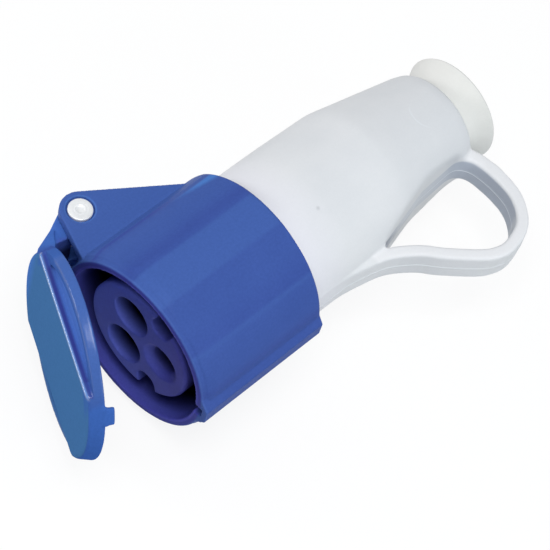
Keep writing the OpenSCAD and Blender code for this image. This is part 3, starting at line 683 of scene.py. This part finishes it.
loopZone = {
    "front": (106.0, 118.0), "rear": (178.0, 184.0), "low": (-42.0, -36.0), "high": (-16.0, -6.0), "deep": (8.5, 11.5)}
taperZone = {"front": (112.0, 122.0), "rear": (146.0, 158.0), "low": (-14.0, -6.0), "outside": (29.0, 31.0)}
rootZone = {"front": (160.0, 168.0), "low": (-38.0, -31.0), "high": (-22.0, -18.0), "deep": (11.0, 14.0)}


def loopFillet(place):
    along = rise(place.x, *loopZone["front"]) * fall(place.x, *loopZone["rear"])
    across = rise(place.y, *loopZone["low"]) * fall(place.y, *loopZone["high"])
    return along * across * rise(abs(place.z), *loopZone["deep"])


def taperFillet(place):
    along = rise(place.x, *taperZone["front"]) * fall(place.x, *taperZone["rear"])
    outside = rise(math.hypot(place.y, place.z), *taperZone["outside"])
    return along * outside * rise(place.y, *taperZone["low"])


def handleRoot(place):
    across = rise(place.y, *rootZone["low"]) * fall(place.y, *rootZone["high"])
    return across * rise(place.x, *rootZone["front"]) * fall(abs(place.z), *rootZone["deep"])


bodyShape = {"grid": 0.66, "keep": 0.32, "zones": {
    "edges": (3, evenly), "loop": (80, loopFillet), "taper": (90, taperFillet), "root": (25, handleRoot)}}
flashShape = {
    "half": 0.45, "height": 0.16, "upright": 0.6,  # mm, and how far a wall may lean
    "cuts": (-4.0, -2.0, -1.0, -0.5, 0.0, 0.5, 1.0, 2.0, 4.0),  # in halves, the outer ones keep the flanks flat
    "loopSide": -34.0,  # below this the loop starts, and its inner wall has a flash too
}


def partingLine(piece):  # a thin flash where the two mould halves met
    half, height = flashShape["half"] * mm, flashShape["height"] * mm
    bm = bmesh.new()
    bm.from_mesh(piece.data)
    for level in flashShape["cuts"]:
        bmesh.ops.bisect_plane(
            bm, geom=bm.verts[:] + bm.edges[:] + bm.faces[:], plane_co=(0, 0, level * half),
            plane_no=(0, 0, 1), dist=weld)
    bm.normal_update()
    for vertex in bm.verts:
        away = min(abs(vertex.co.z) / half, 1.0)
        inside = vertex.co.y > flashShape["loopSide"] * mm and vertex.co.y * vertex.normal.y < 0
        flat = Vector((vertex.normal.x, vertex.normal.y, 0))
        if away < 1 and flat.length > flashShape["upright"] and not inside:
            vertex.co += flat.normalized() * height * (1 - away * away)
        vertex.co.y = max(vertex.co.y, cadBox[0].y)  # the loop already reaches the edge of the box
    bm.to_mesh(piece.data)
    bm.free()
    for face in piece.data.polygons:
        face.use_smooth = True


bodyShell = softSkin("bodyShell", "body", bodyShape)
partingLine(bodyShell)
dress(bodyShell, "body", "base")


# turned pieces: a profile of radius and place, its corners rounded, spun about an axis

def spunPiece(name, profile, centre, axis, outward, steps):
    bm = bmesh.new()
    places = [centre + axis * along + outward * radius for radius, along, rounding in profile]
    corners = [bm.verts.new(place * mm) for place in places]
    following = corners[1:] + (corners[:1] if profile[0][0] else [])  # a profile from the axis stays open
    for start, end in zip(corners, following):
        bm.edges.new((start, end))
    for corner, (radius, along, rounding) in zip(corners, profile):
        if rounding:
            bmesh.ops.bevel(
                bm, geom=[corner], offset=rounding * mm, offset_type="OFFSET", affect="VERTICES",
                segments=6, profile=0.5, material=-1)
    bmesh.ops.spin(
        bm, geom=bm.verts[:] + bm.edges[:], cent=centre * mm, axis=axis, angle=2 * math.pi,
        steps=steps, use_merge=True)
    bmesh.ops.remove_doubles(bm, verts=bm.verts, dist=2 * weld)
    bmesh.ops.recalc_face_normals(bm, faces=bm.faces)
    for face in bm.faces:
        face.smooth = True
    return newPiece(name, bm)


# cable bush: neck groove, thin flare with a round lip, cable bore

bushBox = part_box("bush")
bushShape = {
    "back": bushBox[1].x / mm, "front": bushBox[0].x / mm, "flare": bushBox[1].y / mm,
    "wall": 179.65, "mouth": 183.55, "neck": 17.05, "foot": 20.6, "bore": 11.5, "lip": 14.7,
}


def makeBush():
    s = bushShape
    profile = [  # radius, place along the axis, rounding
        (s["bore"], s["front"], 0.4), (s["neck"] + 1, s["front"], 0.6), (s["neck"] + 3, s["front"] + 1.6, 0.5),
        (s["neck"] + 3, s["wall"], 0.3), (s["neck"], s["wall"], 0.2), (s["neck"], s["mouth"], 0.2),
        (s["foot"], s["mouth"], 0.6), (s["foot"] + 0.45, s["mouth"] + 3.2, 2.4),
        (s["foot"] + 1.6, s["mouth"] + 7, 3.0), (s["flare"] - 0.8, s["back"] - 2.7, 1.6),
        (s["flare"], s["back"] - 1.0, 0.6), (s["flare"] - 0.7, s["back"], 0.6),
        (s["lip"] + 1, s["back"], 0.8), (s["lip"] - 1.2, s["back"] - 1.2, 1.0), (s["bore"], s["back"] - 6, 2.0),
    ]
    return spunPiece("bushFlare", profile, Vector((0, 0, 0)), Vector((1, 0, 0)), Vector((0, 1, 0)), 120)


dress(makeBush(), "bush", "base")


# hinge pin: two round heads, turned dimple in the near one

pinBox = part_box("hinge_pin")
pinShape = {"shank": 2.5, "head": 5.5, "thick": 1.7, "top": pinBox[1].z / mm, "low": pinBox[0].z / mm}


def makePin():
    s = pinShape
    profile = [  # radius, height, rounding
        (0.0, s["low"], 0), (s["head"], s["low"], 0.5), (s["head"], s["low"] + s["thick"], 0.15),
        (s["shank"], s["low"] + s["thick"], 0.1), (s["shank"], s["top"] - s["thick"], 0.1),
        (s["head"], s["top"] - s["thick"], 0.15), (s["head"], s["top"] - 0.16, 0.5), (3.6, s["top"], 0.6),
        (2.9, s["top"] - 0.12, 0.3), (2.2, s["top"] - 0.02, 0.3),
        (1.5, s["top"] - 0.5, 0.3), (0.0, s["top"] - 0.6, 0),
    ]
    return spunPiece("hingePin", profile, pinPlace, Vector((0, 0, 1)), Vector((1, 0, 0)), 72)


dress(makePin(), "hinge_pin", "base")


# lid spring: a close helix round the pin, one leg on the collar and one in the lid arm

springShape = {
    "wire": 0.75, "mean": 3.95, "half": 3.4, "sides": 12, "stepsPerTurn": 36,
    "collarAngle": -124.0, "collarReach": 18.6, "lidAngle": -95.4, "turns": 4, "lidReach": 14.0,
}


def wireRing(bm, centre, ahead, radius, sides):
    turn = ahead.to_track_quat("Z", "X").to_matrix().to_4x4()
    ring = bmesh.ops.create_circle(
        bm, cap_ends=False, segments=sides, radius=radius * mm, matrix=Matrix.Translation(centre * mm) @ turn)
    return ring["verts"]


def ringEdges(verts):
    return list(dict.fromkeys(edge for vert in verts for edge in vert.link_edges))  # each once, in order


def springLeg(bm, centre, ahead, reach):  # a straight wire with a flat end
    verts = wireRing(bm, centre, ahead, springShape["wire"], springShape["sides"])
    far = bmesh.ops.extrude_edge_only(bm, edges=ringEdges(verts))["geom"]
    farVerts = [item for item in far if isinstance(item, bmesh.types.BMVert)]
    bmesh.ops.translate(bm, verts=farVerts, vec=ahead * reach * mm)
    bmesh.ops.holes_fill(bm, edges=[edge for edge in bm.edges if edge.is_boundary])


def onCoil(angle, height):
    turn = math.radians(angle)
    return pinPlace + Vector((springShape["mean"] * math.cos(turn), springShape["mean"] * math.sin(turn), height))


def tangent(angle):  # the way the wire leaves the coil against the clock
    turn = math.radians(angle)
    return Vector((-math.sin(turn), math.cos(turn), 0))


def makeCoil():
    s = springShape
    bm = bmesh.new()
    travel = s["turns"] * 360 - (s["lidAngle"] - s["collarAngle"])
    steps = int(s["stepsPerTurn"] * travel / 360)
    start = wireRing(bm, onCoil(s["collarAngle"], -s["half"]), tangent(s["collarAngle"]), s["wire"], s["sides"])
    bmesh.ops.spin(
        bm, geom=start + ringEdges(start), cent=pinPlace * mm, axis=(0, 0, 1),
        dvec=(0, 0, 2 * s["half"] * mm / steps), angle=-math.radians(travel), steps=steps, use_duplicate=False)
    bmesh.ops.holes_fill(bm, edges=[edge for edge in bm.edges if edge.is_boundary])
    springLeg(bm, onCoil(s["collarAngle"], -s["half"]), tangent(s["collarAngle"]), s["collarReach"])
    bmesh.ops.recalc_face_normals(bm, faces=bm.faces)
    for face in bm.faces:
        face.smooth = len(face.verts) == 4
    return newPiece("springCoil", bm)


def makeLidLeg():
    s = springShape
    bm = bmesh.new()
    springLeg(bm, onCoil(s["lidAngle"], s["half"]), -tangent(s["lidAngle"]), s["lidReach"])
    bmesh.ops.recalc_face_normals(bm, faces=bm.faces)
    for face in bm.faces:
        face.smooth = len(face.verts) == 4
    return newPiece("springLidLeg", bm)


dress(makeCoil(), "lid_spring", "base")
dress(makeLidLeg(), "lid_spring", "lid")


# light and floor

roomLight = {
    "world": 0.42, "sky": (0.94, 0.985, 1.03, 1),
    "lamps": {  # place in the camera's own axes in metres: right, up, towards the camera
        "key": {"place": (0.1, 0.3, 1.1), "size": 0.6, "power": 7.3, "colour": (1.0, 0.99, 0.98)},
        "fill": {"place": (0.9, -0.5, 0.6), "size": 0.7, "power": 3.2, "colour": (0.9, 1.0, 1.06)},
        "left": {"place": (-1.0, 0.35, 0.33), "size": 0.4, "power": 4.0, "colour": (1.0, 1.0, 1.0)},
        "small": {"place": (0.49, 0.45, 0.74), "size": 0.14, "power": 0.6, "colour": (0.9, 1.0, 1.06)},
    },
    "floorDrop": 0.6,  # mm below the part
    "floorHalf": 4.0, "floorGlow": 0.87, "floorTone": (0.7, 0.7, 0.7, 1), "floorSeen": (0.97, 0.97, 0.97, 1),
}


def makeLights():
    world = bpy.data.worlds.new("room")
    world.use_nodes = True
    world.node_tree.nodes["Background"].inputs["Color"].default_value = roomLight["sky"]
    world.node_tree.nodes["Background"].inputs["Strength"].default_value = roomLight["world"]
    scene.world = world
    middle = (cadBox[0] + cadBox[1]) / 2
    for name, lamp in roomLight["lamps"].items():
        data = bpy.data.lights.new(name, "AREA")
        data.shape = "DISK"
        data.size = lamp["size"]
        data.energy = lamp["power"]
        data.color = lamp["colour"]
        right, up, near = lamp["place"]
        offset = axisOf("right") * right + axisOf("down", -1) * up + axisOf("ahead", -1) * near
        light = bpy.data.objects.new(name, data)
        light.location = middle + offset
        light.rotation_mode = "QUATERNION"
        light.rotation_quaternion = (-offset).to_track_quat("-Z", "Y")
        scene.collection.objects.link(light)


def makeFloor():
    bm = bmesh.new()
    bmesh.ops.create_grid(bm, x_segments=2, y_segments=2, size=roomLight["floorHalf"])
    bmesh.ops.translate(bm, verts=bm.verts, vec=(0, 0, cadBox[0].z - roomLight["floorDrop"] * mm))
    floor = newPiece("floor", bm)
    finish = Finish("paleFloor")
    ray = [finish.add("ShaderNodeLightPath", {}, {}, out) for out in (
        "Is Camera Ray", "Is Glossy Ray", "Is Transmission Ray")]
    seen = (ray[0] + ray[1] + ray[2]).clip(0.0, 1.0)
    tone = finish.mix(ray[0], roomLight["floorTone"], roomLight["floorSeen"])
    paint = finish.add("ShaderNodeBsdfDiffuse", {}, {"Color": tone})
    glow = finish.add("ShaderNodeEmission", {}, {"Color": (1, 1, 1, 1), "Strength": 1.0})
    blend = finish.add("ShaderNodeMixShader", {}, {0: seen * roomLight["floorGlow"], 1: paint, 2: glow})
    finish.add("ShaderNodeOutputMaterial", {}, {"Surface": blend})
    floor.data.materials.append(finish.material)


makeLights()
makeFloor()
print("light and floor made")
